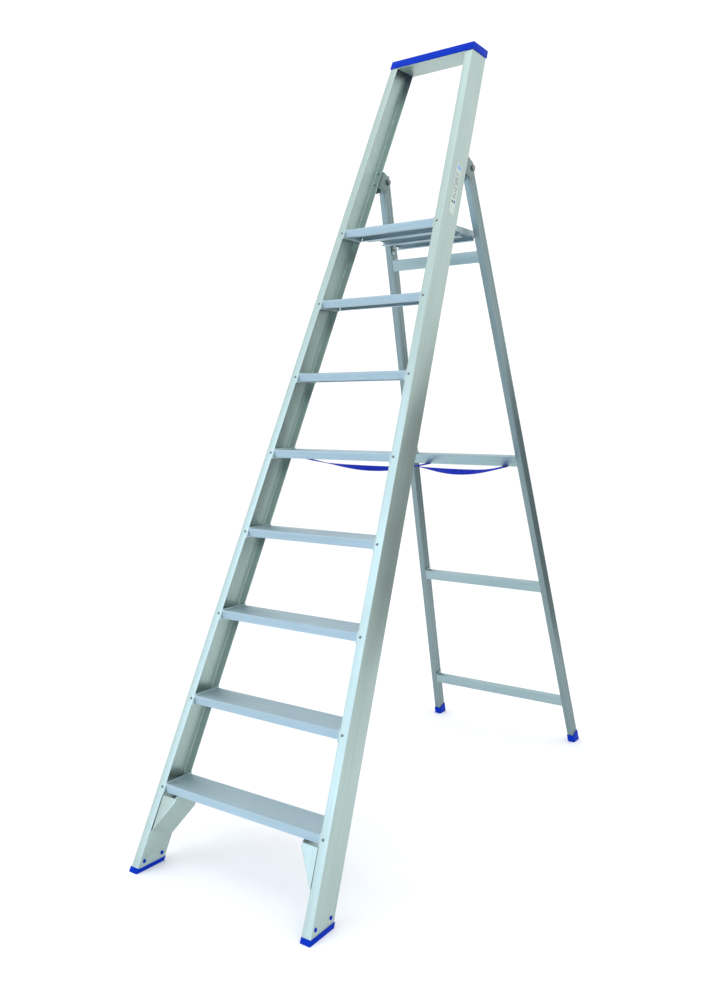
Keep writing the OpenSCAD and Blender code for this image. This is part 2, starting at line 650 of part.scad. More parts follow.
// a rivet up through the webbing and a wall, the webbing hung below the wall by gap
module strap_rivet(wall, gap) {
    grip = strap_t + 2 * gap;
    translate([0, 0, -grip]) cylinder(d = rivet_d, h = grip + wall);
    translate([0, 0, wall]) cylinder(d = rivet_head, h = rivet_head_h);
    translate([0, 0, -grip - rivet_head_h]) cylinder(d = strap_rivet_d, h = rivet_head_h);
}
module tread_strap_rivets() color("silver") place() for (side = [-1, 1])
    translate(strap_start(side) + [0, 0, strap_t / 2]) strap_rivet(tread_t, 0);
module bar_strap_rivets() color("silver") place() for (side = [-1, 1])
    translate(strap_end(side)) rotate([rear_lean, 0, 0]) translate([0, 0, strap_t / 2 + bar_strap_gap])
        strap_rivet(bar_t, bar_strap_gap);

stile(-1);  // stile_left
stile(1);  // stile_right
tread(1);  // tread_1
tread(2);  // tread_2
tread(3);  // tread_3
tread(4);  // tread_4
tread(5);  // tread_5
tread(6);  // tread_6
tread(7);  // tread_7
tread(8);  // tread_8
tread_brackets(-1);  // tread_brackets_left
tread_brackets(1);  // tread_brackets_right
tread_rivets(-1);  // tread_rivets_left
tread_rivets(1);  // tread_rivets_right
top_rail();
top_cap();
front_foot(-1);  // front_foot_left
front_foot(1);  // front_foot_right
foot_pins(-1);  // foot_pins_left
foot_pins(1);  // foot_pins_right
foot_brace(-1);  // foot_brace_left
foot_brace(1);  // foot_brace_right
hinge_bracket(-1);  // hinge_bracket_left
hinge_bracket(1);  // hinge_bracket_right
hinge_rivets(-1);  // hinge_rivets_left
hinge_rivets(1);  // hinge_rivets_right
hinge_bolt(-1);  // hinge_bolt_left
hinge_bolt(1);  // hinge_bolt_right
hinge_nut(-1);  // hinge_nut_left
hinge_nut(1);  // hinge_nut_right
hinge_washer(-1);  // hinge_washer_left
hinge_washer(1);  // hinge_washer_right
label();
platform_board(0);  // platform_front_board
platform_board(1);  // platform_rear_board
platform_side(-1);  // platform_side_left
platform_side(1);  // platform_side_right
pivot_bracket(-1);  // pivot_bracket_left
pivot_bracket(1);  // pivot_bracket_right
pivot_pin(-1);  // pivot_pin_left
pivot_pin(1);  // pivot_pin_right
rear_leg(-1);  // rear_leg_left
rear_leg(1);  // rear_leg_right
rear_bar(0);  // rear_bar_1
rear_bar(1);  // rear_bar_2
rear_bar(2);  // rear_bar_3
rear_bar(3);  // rear_bar_4
bar_plates(-1);  // bar_plates_left
bar_plates(1);  // bar_plates_right
rear_foot(-1);  // rear_foot_left
rear_foot(1);  // rear_foot_right
platform_rest(-1);  // platform_rest_left
platform_rest(1);  // platform_rest_right
rest_bolts();
strap(-1);  // strap_left
strap(1);  // strap_right
tread_strap_rivets();
bar_strap_rivets();
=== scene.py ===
import math

import bmesh
import bpy
import numpy as np
from mathutils import Matrix, Vector


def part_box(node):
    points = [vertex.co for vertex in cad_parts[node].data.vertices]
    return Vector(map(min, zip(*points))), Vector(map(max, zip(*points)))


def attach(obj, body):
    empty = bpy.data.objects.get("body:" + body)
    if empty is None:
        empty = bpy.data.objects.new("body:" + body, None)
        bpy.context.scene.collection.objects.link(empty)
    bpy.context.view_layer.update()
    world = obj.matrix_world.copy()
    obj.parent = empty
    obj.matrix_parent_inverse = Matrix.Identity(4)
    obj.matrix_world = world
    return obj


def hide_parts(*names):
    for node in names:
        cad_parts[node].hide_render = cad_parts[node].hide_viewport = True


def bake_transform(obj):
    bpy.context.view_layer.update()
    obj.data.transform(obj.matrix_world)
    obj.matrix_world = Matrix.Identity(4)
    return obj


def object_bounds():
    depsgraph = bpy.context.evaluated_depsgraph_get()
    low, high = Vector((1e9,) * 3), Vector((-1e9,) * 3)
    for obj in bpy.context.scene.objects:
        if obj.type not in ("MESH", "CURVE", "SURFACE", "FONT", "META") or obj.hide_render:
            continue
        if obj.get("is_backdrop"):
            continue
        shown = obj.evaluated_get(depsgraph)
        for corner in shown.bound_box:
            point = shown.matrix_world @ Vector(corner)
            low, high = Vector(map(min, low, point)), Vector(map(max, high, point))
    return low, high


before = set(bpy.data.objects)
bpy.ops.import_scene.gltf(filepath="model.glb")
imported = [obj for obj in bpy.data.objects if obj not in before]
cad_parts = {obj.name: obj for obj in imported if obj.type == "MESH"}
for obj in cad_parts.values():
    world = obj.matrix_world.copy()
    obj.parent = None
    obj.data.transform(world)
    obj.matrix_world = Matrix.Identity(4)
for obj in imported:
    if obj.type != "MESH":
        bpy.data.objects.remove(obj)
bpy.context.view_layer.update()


# ---- camera ----
# A viewer stands four paces off, to the right of the ladder's front, and looks slightly down at it,
# through a plain 33 mm lens on a 36 mm frame.
look_down, look_left = 5.4, 35.2
scene = bpy.context.scene
scene.view_settings.view_transform = "Standard"
camera = bpy.data.objects.new("camera", bpy.data.cameras.new("camera"))
camera.location = (1.7246, -2.6910, 1.3650)
camera.rotation_euler = (math.radians(90 - look_down), 0, math.radians(look_left))
camera.data.lens = 33.1
camera.data.sensor_width = 36
camera.data.clip_end = 200
scene.collection.objects.link(camera)
scene.camera = camera


# ---- straps ----
# Two lengths of 25 mm blue polyester webbing that stop the frames from spreading. Each is riveted flat
# under the fifth tread's rear lip, hangs slack and turned partly on edge, and is riveted flat under the
# second bar.
webbing_w, webbing_t = 0.025, 0.002
webbing_sag = 0.028
webbing_turn = math.radians(50)
webbing_flat = 0.009  # held flat by a rivet, on each side of it
hang_steps, flat_steps = 72, 6
turn_from, blend_from = 10, 8  # route points from each end
strap_head = 0.006  # radius
bar_wall = 0.0015
rear_lean = math.radians(17.9)
rear_up = np.array([0, -math.sin(rear_lean), math.cos(rear_lean)])
rear_back = np.array([0, math.cos(rear_lean), math.sin(rear_lean)])


def lane(node, side):
    """The middle of one of the two rivets in a node: its x is a head's radius in from the node's end."""
    low, high = (np.array(c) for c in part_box(node))
    middle = (low + high) / 2
    middle[0] = low[0] + strap_head if side < 0 else high[0] - strap_head
    return middle


def strap_route(side):
    """Points down the webbing's middle: flat for a few millimetres, a parabola 4 s t (1 - t) below the
    straight line for the hanging part, and flat again."""
    start = lane("tread_strap_rivets", side)
    start[2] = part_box("tread_5")[0].z - webbing_t / 2
    end = lane("bar_strap_rivets", side) - rear_up * bar_wall / 2
    lead_in, lead_out = np.array([0, webbing_flat, 0]), -rear_back * webbing_flat
    t = np.linspace(0, 1, hang_steps)[:, None]
    hang = (start + lead_in) * (1 - t) + (end + lead_out) * t
    hang[:, 2:] -= 4 * webbing_sag * t * (1 - t)
    ends = np.linspace(-1, 1, flat_steps + 1)[:-1, None]
    return np.concatenate([start + lead_in * ends, hang, (end - lead_out * ends)[::-1]])


def mesh_from_rings(name, rings):
    """A mesh of equal rings joined in order by four-sided faces, with a face over each end."""
    rows, around = rings.shape[:2]
    index = np.arange(rows * around).reshape(rows, around)
    a, b = index[:-1], index[1:]
    walls = np.stack([a, np.roll(a, -1, 1), np.roll(b, -1, 1), b], -1).reshape(-1, 4).tolist()
    ends = [index[0][::-1].tolist(), index[-1].tolist()]
    mesh = bpy.data.meshes.new(name)
    mesh.from_pydata(rings.reshape(-1, 3).tolist(), [], walls + ends)
    return mesh


def piece(name, mesh, body, material, node, crease=30):
    """A finished piece in a CAD node's place: faces turned outwards, smooth up to the crease angle, riding
    on its body. A strap has no one body, so it passes None and is left unattached."""
    work = bmesh.new()
    work.from_mesh(mesh)
    bmesh.ops.recalc_face_normals(work, faces=work.faces)
    work.to_mesh(mesh)
    work.free()
    mesh.shade_smooth()
    mesh.set_sharp_from_angle(angle=math.radians(crease))
    mesh.materials.clear()
    mesh.materials.append(material)
    made = bpy.data.objects.new(name, mesh)
    scene.collection.objects.link(made)
    if body:
        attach(made, body)
    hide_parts(node)
    return made


class Recipe:
    """A material under construction: nodes are added by type, and sockets are joined by name."""

    def __init__(self, name):
        self.material = bpy.data.materials.new(name)
        self.material.use_nodes = True
        self.tree = self.material.node_tree
        self.shader = self.tree.nodes["Principled BSDF"]

    def add(self, kind, inputs=None, **settings):
        node = self.tree.nodes.new("ShaderNode" + kind)
        for key, value in settings.items():
            setattr(node, key, value)
        for key, value in (inputs or {}).items():
            self.put(value, node.inputs[key])
        return node

    def put(self, value, socket):
        if isinstance(value, bpy.types.NodeSocket):
            self.tree.links.new(value, socket)
        else:
            socket.default_value = value

    def set(self, **inputs):
        for key, value in inputs.items():
            self.put(value, self.shader.inputs[key.replace("_", " ")])

    def calc(self, operation, *values):
        node = self.add("Math", operation=operation)
        for socket, value in zip(node.inputs, values):
            self.put(value, socket)
        return node.outputs[0]

    def spread(self, value, low, high, start=0.0, end=1.0):
        """value from low..high carried over to start..end."""
        return self.add("MapRange", {"Value": value, "From Min": low, "From Max": high,
                                     "To Min": start, "To Max": end}).outputs[0]

    def blend(self, share, a, b):
        """A colour that goes from a to b with the share."""
        node = self.add("Mix", data_type="RGBA")
        self.put(share, node.inputs[0])
        self.put(a, node.inputs[6])
        self.put(b, node.inputs[7])
        return node.outputs[2]

    def noise(self, vector, scale, detail, roughness=0.5):
        return self.add("TexNoise", {"Vector": vector, "Scale": scale, "Detail": detail,
                                     "Roughness": roughness}).outputs[0]

    def bump(self, height, distance, strength):
        node = self.add("Bump", {"Height": height, "Distance": distance, "Strength": strength})
        self.put(node.outputs[0], self.shader.inputs["Normal"])

    def here(self):
        """Object coordinates, in metres."""
        return self.add("TexCoord").outputs["Object"]


def colour(red, green, blue):
    """A colour given as seen on a screen, 0 to 255, in the renderer's linear scale."""
    screen = np.array([red, green, blue]) / 255
    linear = np.where(screen < 0.04045, screen / 12.92, ((screen + 0.055) / 1.055) ** 2.4)
    return (*linear.tolist(), 1)


def webbing():
    """Dyed polyester: bundles of warp crossed by weft, each a sine of the distance across or along, with
    worn patches and a raised selvedge near each edge. The blue is darker where the weave is low and paler
    where it is high: painted shade in the weave's hollows."""
    warp_pitch, weft_pitch = 0.0016, 0.0012
    selvedge_from, selvedge_to = 0.0105, 0.0122
    r = Recipe("blue_webbing")
    uv = r.add("SeparateXYZ", {"Vector": r.add("TexCoord").outputs["UV"]})
    across, length = uv.outputs[0], uv.outputs[1]
    warp = r.calc("SINE", r.calc("MULTIPLY", across, 2 * math.pi / warp_pitch))
    weft = r.calc("SINE", r.calc("MULTIPLY", length, 2 * math.pi / weft_pitch))
    weave = r.calc("MULTIPLY", warp, weft)
    edge = r.spread(r.calc("ABSOLUTE", across), selvedge_from, selvedge_to)
    fuzz = r.noise(r.here(), 900, 4)
    height = r.calc("ADD", weave, r.calc("ADD", r.calc("MULTIPLY", edge, 1.5), fuzz))
    worn = r.noise(r.here(), 30, 4)
    # Painted shade: the blue follows the weave's height, dark in its hollows and pale on its crowns.
    weave_shade = r.blend(r.spread(weave, -1, 1), colour(0, 16, 120), colour(0, 44, 195))
    r.set(Base_Color=r.blend(r.spread(worn, 0.35, 0.75, 0, 0.35), weave_shade, colour(0, 50, 205)),
          Roughness=r.spread(fuzz, 0.2, 0.8, 0.62, 0.85))
    r.shader.inputs["Specular IOR Level"].default_value = 0.05
    r.shader.inputs["Sheen Weight"].default_value = 0.03
    r.shader.inputs["Sheen Roughness"].default_value = 0.4
    r.bump(height, 0.0002, 0.8)
    return r.material


def strap(side):
    """Rings of a flattened loop, |x|^n + |y|^n = 1 with n = 5, carried down the route. The webbing turns out
    and back over the hanging part by the square of sin(pi t)."""
    around, power = 28, 2 / 5
    route = strap_route(side)
    ahead = np.gradient(route, axis=0)
    ahead /= np.linalg.norm(ahead, axis=1)[:, None]
    flat = np.array([1.0, 0, 0]) - ahead * ahead[:, :1]
    flat /= np.linalg.norm(flat, axis=1)[:, None]
    up = np.cross(ahead, flat)
    t = np.clip((np.arange(len(route)) - turn_from) / (len(route) - 1 - 2 * turn_from), 0, 1)
    turn = (webbing_turn * np.sin(math.pi * t) ** 2)[:, None]
    across = flat * np.cos(turn) + up * np.sin(turn)
    thick = up * np.cos(turn) - flat * np.sin(turn)
    angle = np.linspace(0, 2 * math.pi, around, endpoint=False)
    loop_w = np.sign(np.cos(angle)) * np.abs(np.cos(angle)) ** power * webbing_w / 2
    loop_t = np.sign(np.sin(angle)) * np.abs(np.sin(angle)) ** power * webbing_t / 2
    rings = route[:, None] + across[:, None] * loop_w[:, None] + thick[:, None] * loop_t[:, None]
    name = "left_strap" if side < 0 else "right_strap"
    node = "strap_left" if side < 0 else "strap_right"
    made = piece(name, mesh_from_rings(name, rings), None, blue_webbing, node, 50)
    travelled = np.concatenate([[0], np.cumsum(np.linalg.norm(np.diff(route, axis=0), axis=1))])
    uv = made.data.uv_layers.new(name="weave")
    corner = np.empty(len(made.data.loops), np.int32)
    made.data.loops.foreach_get("vertex_index", corner)
    grid = np.stack([np.tile(loop_w, len(route)), np.repeat(travelled, len(loop_w))], 1)
    uv.data.foreach_set("uv", grid[corner].astype(np.float32).ravel())
    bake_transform(made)


blue_webbing = webbing()
for side in (-1, 1):
    strap(side)


# ---- floor and light ----
# A plain pale floor that runs out of sight, under a white studio sky and three softboxes. A dark cloth panel
# stands behind the ladder on the right. It shows only in reflections, and darkens the metal that faces it.
reach = 60
sky_strength = 1.12
panel_left, panel_right, panel_h = (0.7, 2.4), (2.8, 1.9), 1.7
floor_mesh = bpy.data.meshes.new("floor")
floor_mesh.from_pydata([(-reach, -reach, 0), (reach, -reach, 0), (reach, reach, 0), (-reach, reach, 0)], [],
                       [(0, 1, 2, 3)])
floor = bpy.data.objects.new("floor", floor_mesh)
scene.collection.objects.link(floor)
floor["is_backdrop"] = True
r = Recipe("studio_floor")
speck = r.noise(r.here(), 12, 3)
r.set(Base_Color=r.blend(speck, colour(244, 245, 246), colour(249, 249, 250)),
      Roughness=r.spread(speck, 0, 1, 0.7, 0.9))
floor_mesh.materials.append(r.material)

world = bpy.data.worlds.new("studio")
scene.world = world
world.use_nodes = True
world.node_tree.nodes["Background"].inputs["Color"].default_value = (1, 1, 1, 1)
world.node_tree.nodes["Background"].inputs["Strength"].default_value = sky_strength


def softbox(name, place, aim, size, watts, tint):
    """An area light at a place, turned to face the aim."""
    light = bpy.data.lights.new(name, "AREA")
    light.shape = "RECTANGLE"
    light.size, light.size_y = size
    light.energy = watts
    light.color = tint
    lamp = bpy.data.objects.new(name, light)
    lamp.location = place
    lamp.rotation_euler = (Vector(aim) - Vector(place)).to_track_quat("-Z", "Y").to_euler()
    scene.collection.objects.link(lamp)


flag_mesh = bpy.data.meshes.new("flag")
flag_mesh.from_pydata([(*panel_left, 0), (*panel_right, 0), (*panel_right, panel_h), (*panel_left, panel_h)],
                      [], [(0, 1, 2, 3)])
flag = bpy.data.objects.new("flag", flag_mesh)
scene.collection.objects.link(flag)
flag.visible_camera = False
flag.visible_shadow = False
flag.visible_diffuse = False
flag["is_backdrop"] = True
r = Recipe("grey_cloth")
r.set(Base_Color=r.blend(r.noise(r.here(), 9, 3), colour(40, 48, 46), colour(50, 58, 56)))
r.shader.inputs["Roughness"].default_value = 0.9
flag_mesh.materials.append(r.material)

softbox("front_softbox", (-2.2, -5.2, 3.4), (0, 0, 1.2), size=(5.0, 5.0), watts=112,
        tint=(0.54, 0.70, 1.0))
softbox("top_softbox", (0.4, 0, 5.2), (0, 0, 0), size=(4.0, 4.0), watts=34, tint=(0.90, 0.96, 1.0))
softbox("side_softbox", (4.5, 0.6, 2.0), (0, 0, 1.2), size=(2.0, 3.0), watts=4, tint=(0.93, 1.0, 0.95))


# ---- stiles ----
# Two C-shaped aluminium extrusions, open towards each other, cut level at the shoe and under the cap.
# They lean back and draw together upwards. The web has a satin finish, with faint drawn lines along it.
front_lean = math.radians(23.8)
flange, depth, wall = 0.029, 0.095, 0.003
outer_r, lip_r, inner_r = 0.0016, 0.001, 0.003
cuts_along = 9
stile_tone = (0.42, 0.53, 0.50)


def points_of(node):
    """The CAD node's vertices, one row each."""
    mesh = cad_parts[node].data
    co = np.empty(len(mesh.vertices) * 3, np.float32)
    mesh.vertices.foreach_get("co", co)
    return co.reshape(-1, 3).astype(float)


def upright_axes(node, lean):
    """Rows outward, back and up for a leaning member, from its CAD points. The inward tilt is the drop of
    its outer face's x from the foot to the top, over the height between them in the leaning plane. The outer
    face is looked for within a band at each end."""
    foot_band, top_band = 0.045, 0.003
    co = points_of(node)
    side = np.sign(co[:, 0].mean())
    height = co @ np.array([0, math.sin(lean), math.cos(lean)])
    x = np.abs(co[:, 0])
    low, high = height < height.min() + foot_band, height > height.max() - top_band
    a, b = np.argmax(np.where(low, x, -1)), np.argmax(np.where(high, x, -1))
    tilt = math.atan((x[a] - x[b]) / (height[b] - height[a]))
    out = np.array([math.cos(tilt) * side, math.sin(tilt) * math.sin(lean), math.sin(tilt) * math.cos(lean)])
    back = np.array([0, math.cos(lean), -math.sin(lean)])
    return np.array([out, back, np.cross(out, back) * side])


def rounded(corners, radii, steps=4):
    """A closed outline with its corners turned to arcs. An arc's centre lies on the corner's bisector, at
    r / sin(half angle), and the arc swings from one tangent point to the other."""
    c = np.asarray(corners, float)
    r = np.broadcast_to(np.asarray(radii, float), len(c))[:, None]
    before, after = np.roll(c, 1, 0) - c, np.roll(c, -1, 0) - c
    before /= np.linalg.norm(before, axis=1)[:, None]
    after /= np.linalg.norm(after, axis=1)[:, None]
    middle = before + after
    middle /= np.linalg.norm(middle, axis=1)[:, None]
    cos_half = (before * middle).sum(1)[:, None]
    sin_half = np.sqrt(1 - cos_half ** 2)
    centre = c + middle * r / sin_half
    first = c + before * r * cos_half / sin_half - centre
    last = c + after * r * cos_half / sin_half - centre
    swing = math.pi - 2 * np.arccos(cos_half)
    t = np.linspace(0, 1, steps)
    arcs = (np.sin((1 - t) * swing)[..., None] * first[:, None]
            + np.sin(t * swing)[..., None] * last[:, None]) / np.sin(swing)[..., None]
    return (centre[:, None] + arcs).reshape(-1, 2)


def level_rings(outline, corner, axes, levels):
    """Rings of a leaning member cut level. A point of the outline slides along the member until its height
    is the level's."""
    base = corner + outline[:, :1] * axes[0] + outline[:, 1:] * axes[1]
    slide = (np.asarray(levels)[:, None] - base[:, 2]) / axes[2][2]
    return base + slide[..., None] * axes[2]


def aluminium(name, tone, axes, roughness):
    """Satin extruded aluminium. Noise stretched along the member gives the die lines, a finer one the grain,
    and broad clouds the handling marks that change how dull it is."""
    stretch = 50
    r = Recipe(name)
    turned = Matrix([list(a) for a in axes]).transposed().to_euler()
    along = r.add("Mapping", {"Vector": r.here(), "Rotation": turned, "Scale": (1, 1, stretch)},
                  vector_type="TEXTURE").outputs[0]
    lines = r.noise(along, 160, 3, 0.6)
    grain = r.noise(along, 1500, 2)
    clouds = r.noise(r.here(), 3.5, 4, 0.6)
    scuffs = r.spread(r.noise(r.here(), 55, 5, 0.7), 0.62, 0.78)
    pale, dark = np.array(tone) * 1.05, np.array(tone) * 0.93
    shade = r.blend(r.spread(lines, 0.3, 0.7), (*dark, 1), (*pale, 1))
    shade = r.blend(r.spread(clouds, 0.3, 0.75, 0, 0.35), shade, (*(np.array(tone) * 0.86), 1))
    dull = r.calc("ADD", r.spread(clouds, 0.25, 0.75, roughness - 0.05, roughness + 0.07),
                 r.calc("ADD", r.calc("MULTIPLY", scuffs, 0.08), r.spread(grain, 0.3, 0.7, -0.03, 0.03)))
    r.set(Base_Color=shade, Roughness=dull)
    r.shader.inputs["Metallic"].default_value = 0.82
    r.shader.inputs["Anisotropic"].default_value = 0.3
    r.bump(r.calc("ADD", lines, r.calc("MULTIPLY", grain, 0.4)), 0.0002, 0.35)
    return r.material


side_words = {-1: "left", 1: "right"}
stile_metal = {}
for side, word in side_words.items():
    node = "stile_" + word
    axes = upright_axes(node, front_lean)
    local = points_of(node) @ axes.T
    corner = axes[0] * local[:, 0].max() + axes[1] * local[:, 1].min()
    web = [(0, 0), (0, depth), (-flange, depth), (-flange, depth - wall), (-wall, depth - wall),
           (-wall, wall), (-flange, wall), (-flange, 0)]
    outline = rounded(web, [outer_r, outer_r, lip_r, lip_r, inner_r, inner_r, lip_r, lip_r], 5)
    low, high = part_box(node)
    rings = level_rings(outline, corner, axes, np.linspace(low.z, high.z, cuts_along))
    stile_metal[word] = aluminium("stile_aluminium_" + word, stile_tone, axes, 0.36)
    piece(word + "_stile", mesh_from_rings(node, rings), "front_frame",
          stile_metal[word], node)


# ---- treads and platform boards ----
# One aluminium extrusion makes them all: a ribbed top plate, a finely ribbed nose and back, and turned-in
# lips. The treads are cut to the stiles' taper and riveted to brackets. Two lengths side by side are the
# platform.
tread_h, tread_wall, lip, rib_h = 0.027, 0.0025, 0.014, 0.001
edge_r, nose_h = 0.0008, 0.0008
top_ribs, nose_ribs = 14, 9
tread_tone = (0.40, 0.52, 0.57)


def wavy(start, end, bulge, count, steps=5):
    """A line from start to end with half-round ridges standing to its left: the ridge height is |sin| of the
    way along, raised to a power that leaves flat valleys between them."""
    start, end = np.array(start), np.array(end)
    t = np.linspace(0, 1, count * steps + 1)
    way = end - start
    left = np.array([-way[1], way[0]]) / np.linalg.norm(way)
    return start + t[:, None] * way + (bulge * np.abs(np.sin(math.pi * count * t)) ** 0.7)[:, None] * left


def board_outline(d):
    """The profile for a depth d, from its front lower edge up the nose, over the ribs, down the back and in
    under both lips."""
    h, w, e, nose = tread_h, tread_wall, edge_r, nose_h
    front = wavy((nose, -h + 0.002), (nose, -0.004), nose, nose_ribs, 4)
    top = wavy((0.0015, -rib_h), (d - 0.0015, -rib_h), rib_h, top_ribs, 6)
    back = wavy((d - nose, -0.004), (d - nose, -h + 0.002), nose, nose_ribs, 4)
    under = rounded([(d, 0), (d, -h), (d - lip, -h), (d - lip, w - h), (d - w, w - h), (d - w, -rib_h - w),
                     (w, -rib_h - w), (w, w - h), (lip, w - h), (lip, -h), (0, -h), (0, 0)],
                    [e, e, e, e, 0.0015, 0.002, 0.002, 0.0015, e, e, e, e], 4)[4:-4]
    front_turn, back_turn = [(e / 3, -0.002), (e, -0.0011)], [(d - e, -0.0011), (d - e / 3, -0.002)]
    return np.concatenate([front, front_turn, top, back_turn, back, under])


def end_plane(node, side):
    """A board's end as x = a + b y + c z, from the CAD points in a band on that side."""
    end_band = 0.012
    co = points_of(node)
    co = co[np.sign(co[:, 0]) == side]
    co = co[np.abs(co[:, 0]) > np.abs(co[:, 0]).max() - end_band]
    table = np.column_stack([np.ones(len(co)), co[:, 1:]])
    return np.linalg.lstsq(table, co[:, 0], rcond=None)[0]


def board(node, name, body):
    """The profile carried across from one slanted end to the other."""
    low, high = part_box(node)
    outline = board_outline(high.y - low.y) + (low.y, high.z)
    ends = [end_plane(node, side) for side in (-1, 1)]
    x = [a + b * outline[:, 0] + c * outline[:, 1] for a, b, c in ends]
    t = np.linspace(0, 1, 7)[:, None]
    x = x[0] * (1 - t) + x[1] * t
    y, z = (np.broadcast_to(outline[:, i], x.shape) for i in (0, 1))
    rings = np.stack([x, y, z], -1)
    piece(name, mesh_from_rings(node, rings), body, tread_metal, node, 40)


crosswise = np.array([(0, 1, 0), (0, 0, 1), (1, 0, 0)], float)
tread_metal = aluminium("tread_aluminium", tread_tone, crosswise, 0.38)
for k in range(1, 9):
    board(f"tread_{k}", f"step_{k}", "front_frame")
board("platform_front_board", "platform_board_front", "platform")
board("platform_rear_board", "platform_board_rear", "platform")


# ---- sheet and tube pieces ----
# Brackets, plates, bars and the hoop's rail are sheared, pressed or sawn aluminium, riveted in place. They
# keep their CAD shape, with the burr taken off every sharp edge.
plate_r, brace_r, pivot_r, bar_r, rail_r = 0.0005, 0.0006, 0.0004, 0.0012, 0.0007
rear_tone = (0.33, 0.45, 0.47)


def eased(node, name, body, material, radius, steps=2):
    """A copy of a CAD node with flat faces made whole and each sharp edge rounded to a radius."""
    weld, flat_below, sharp_above = 0.000004, math.radians(1), math.radians(40)
    work = bmesh.new()
    work.from_mesh(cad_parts[node].data)
    bmesh.ops.remove_doubles(work, verts=work.verts, dist=weld)
    bmesh.ops.dissolve_limit(work, angle_limit=flat_below, verts=work.verts, edges=work.edges)
    sharp = [e for e in work.edges if len(e.link_faces) == 2 and e.calc_face_angle(0) > sharp_above]
    bmesh.ops.bevel(work, geom=sharp, offset=radius, segments=steps, profile=0.5, affect="EDGES",
                    clamp_overlap=True)
    mesh = bpy.data.meshes.new(name)
    work.to_mesh(mesh)
    work.free()
    piece(name, mesh, body, material, node, 35)


def sheet_metal(name, tone, roughness):
    """Rolled sheet: faint clouds, fine speckle and a few rubbed marks."""
    r = Recipe(name)
    spot = r.here()
    clouds = r.noise(spot, 14, 5, 0.65)
    speckle = r.noise(spot, 900, 3)
    rubbed = r.spread(r.noise(spot, 80, 4, 0.7), 0.6, 0.75)
    tone = np.array(tone)
    shade = r.blend(r.spread(clouds, 0.3, 0.7), (*(tone * 0.9), 1), (*np.minimum(tone * 1.06, 1), 1))
    r.set(Base_Color=r.blend(rubbed, shade, (*np.minimum(tone * 1.15, 1), 1)),
          Roughness=r.calc("ADD", r.spread(clouds, 0.3, 0.7, roughness - 0.06, roughness + 0.06),
                          r.calc("MULTIPLY", rubbed, -0.08)))
    r.shader.inputs["Metallic"].default_value = 0.85
    r.bump(r.calc("ADD", speckle, clouds), 0.0001, 0.4)
    return r.material


bracket_metal = sheet_metal("bracket_aluminium", (0.43, 0.54, 0.55), 0.4)
bar_metal = aluminium("bar_aluminium", rear_tone, crosswise, 0.38)
for word in side_words.values():
    eased("tread_brackets_" + word, word + "_tread_brackets", "front_frame",
          bracket_metal, plate_r)
    eased("foot_brace_" + word, word + "_foot_brace", "front_frame",
          stile_metal[word], brace_r)
    eased("platform_side_" + word, word + "_platform_side", "platform",
          bracket_metal, plate_r)
    eased("pivot_bracket_" + word, word + "_pivot_bracket", "front_frame",
          bracket_metal, pivot_r)
    eased("bar_plates_" + word, word + "_bar_plates", "rear_frame",
          bracket_metal, plate_r)
    eased("platform_rest_" + word, word + "_platform_rest", "rear_frame",
          bracket_metal, plate_r)
for k in range(1, 5):
    eased(f"rear_bar_{k}", f"back_bar_{k}", "rear_frame", bar_metal, bar_r, 3)
rail_metal = aluminium("rail_aluminium", stile_tone, crosswise, 0.38)
eased("top_rail", "hoop_rail", "front_frame", rail_metal, rail_r)


# ---- rear legs ----
# Rectangular aluminium tubes with two shallow grooves down each side. Each hangs on its hinge bolt, and the
# four bars tie the pair together.
# The legs' aluminium tone is set darker than the stiles': painted shade over the whole leg, standing in for
# the shade the legs stand in.
shaded_leg_tone, leg_r = (0.22, 0.30, 0.31), 0.0012
for side, word in side_words.items():
    axes = upright_axes("rear_leg_" + word, -rear_lean)
    leg_metal = aluminium("rear_aluminium_" + word, shaded_leg_tone, axes, 0.36)
    eased("rear_leg_" + word, word + "_rear_leg", "rear_frame", leg_metal, leg_r, 3)


# ---- hinges ----
# Folded aluminium brackets riveted behind the stiles carry a zinc-plated bolt through each leg. A nut is
# inside, and a black nylon washer keeps the leg off the outer ear. The platform's steel pins and screws are
# made here too.
fold_r, bolt_r, nut_r, washer_r, pin_r, screw_r = 0.0006, 0.0008, 0.0007, 0.0003, 0.0004, 0.0005
hinge_metal = sheet_metal("hinge_aluminium", (0.20, 0.27, 0.26), 0.45)


def zinc():
    """Zinc plate: grey with a faint yellow-blue cast in patches, and small dull spots."""
    r = Recipe("zinc_steel")
    patches = r.noise(r.here(), 120, 3)
    spots = r.spread(r.noise(r.here(), 700, 3), 0.6, 0.7)
    shade = r.blend(patches, (0.20, 0.21, 0.24, 1), (0.33, 0.33, 0.31, 1))
    r.set(Base_Color=r.blend(spots, shade, (0.10, 0.10, 0.10, 1)),
          Roughness=r.spread(patches, 0.3, 0.7, 0.35, 0.55))
    r.shader.inputs["Metallic"].default_value = 0.95
    r.bump(spots, 0.00005, 0.5)
    return r.material


zinc_steel = zinc()
r = Recipe("black_nylon")
pores = r.noise(r.here(), 1200, 3)
r.set(Base_Color=r.blend(pores, (0.012, 0.012, 0.013, 1), (0.03, 0.03, 0.03, 1)),
      Roughness=r.spread(pores, 0.3, 0.7, 0.45, 0.6))
r.bump(pores, 0.00005, 0.4)
black_nylon = r.material
for word in side_words.values():
    eased("hinge_bracket_" + word, word + "_hinge_bracket", "front_frame",
          hinge_metal, fold_r)
    eased("hinge_bolt_" + word, word + "_hinge_bolt", "front_frame", zinc_steel, bolt_r)
    eased("hinge_nut_" + word, word + "_hinge_nut", "front_frame", zinc_steel, nut_r)
    eased("hinge_washer_" + word, word + "_hinge_washer", "front_frame", black_nylon,
          washer_r)
    eased("pivot_pin_" + word, word + "_pivot_pin", "front_frame", zinc_steel, pin_r)
eased("rest_bolts", "rest_screws", "rear_frame", zinc_steel, screw_r)


